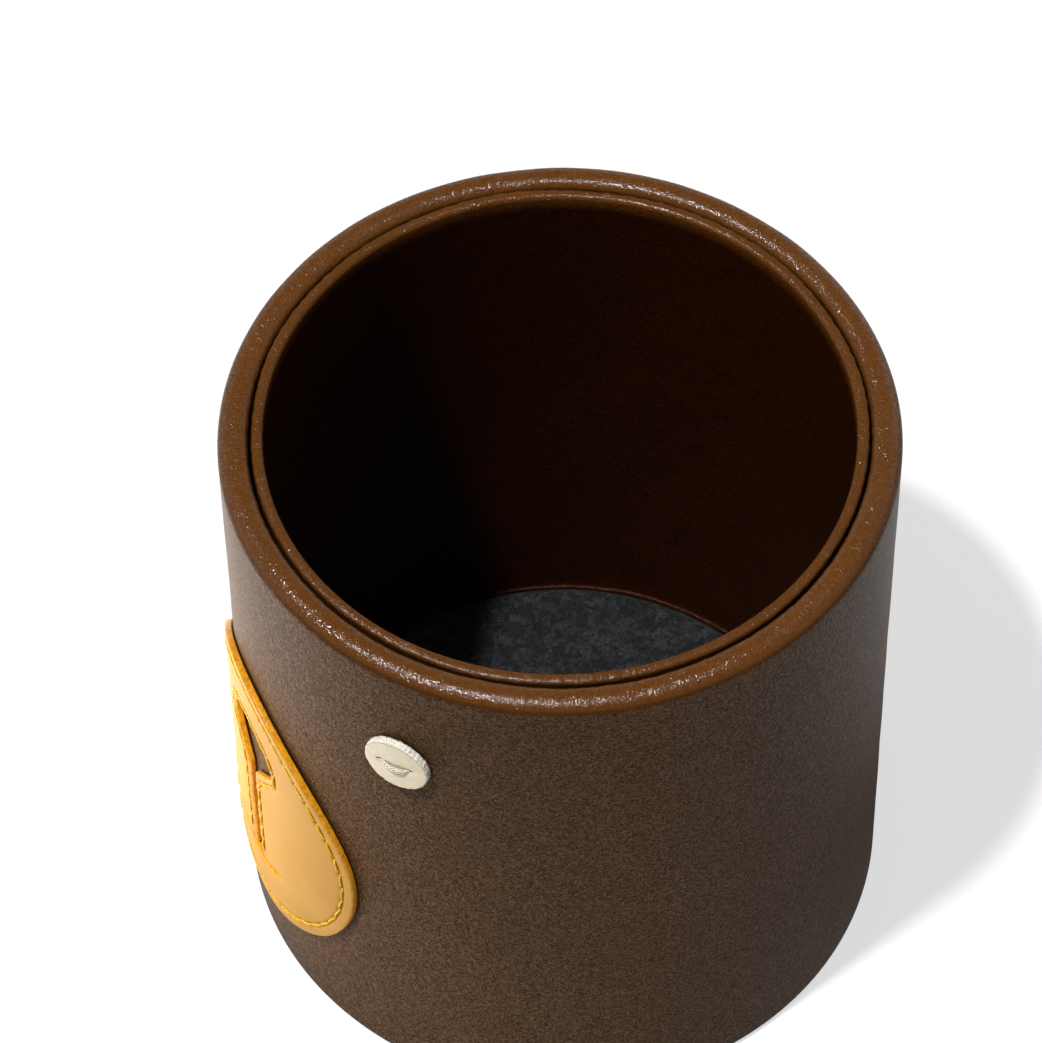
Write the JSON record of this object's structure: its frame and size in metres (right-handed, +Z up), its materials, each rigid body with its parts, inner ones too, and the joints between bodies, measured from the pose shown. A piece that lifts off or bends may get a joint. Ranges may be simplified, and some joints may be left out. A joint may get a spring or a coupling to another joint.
{
  "type": "pen cup",
  "caption": "Round leather covered pen cup with a rolled rim, a felt floor and the stitched muzzle and eyes of an animal on its front.",
  "frame": {"origin": "middle of the underside, on the plane that the cup stands on", "axes": "+Z up along the cup's axis, -Y towards the side that carries the muzzle, +X to the right of someone who looks at the muzzle"},
  "size_m": [0.085, 0.0864, 0.09],
  "materials": {
    "cover_leather": "semi-gloss grain, dark brown",
    "lining_leather": "semi-gloss grain, dark brown",
    "underside_leather": "matt",
    "muzzle_leather": "smooth, satin, with painted orange edges",
    "eye_leather": "smooth, matt",
    "board": "matt grey board",
    "felt": "matt wool felt, charcoal",
    "yellow_thread": "waxed, slight sheen",
    "cream_thread": "matt"
  },
  "bodies": {
    "root": {"outer_leather_cover": "cover_leather", "outer_board_tube": "board", "inner_board_tube": "board", "inner_leather_lining": "lining_leather", "base_board": "board", "underside_leather": "underside_leather", "felt_floor": "felt", "muzzle_patch": "muzzle_leather", "muzzle_edge_thread": "yellow_thread", "nose_thread": "yellow_thread", "eye_disc_left": "eye_leather", "eye_disc_right": "eye_leather", "eye_thread_left": "cream_thread", "eye_thread_right": "cream_thread"}
  },
  "joints": []
}
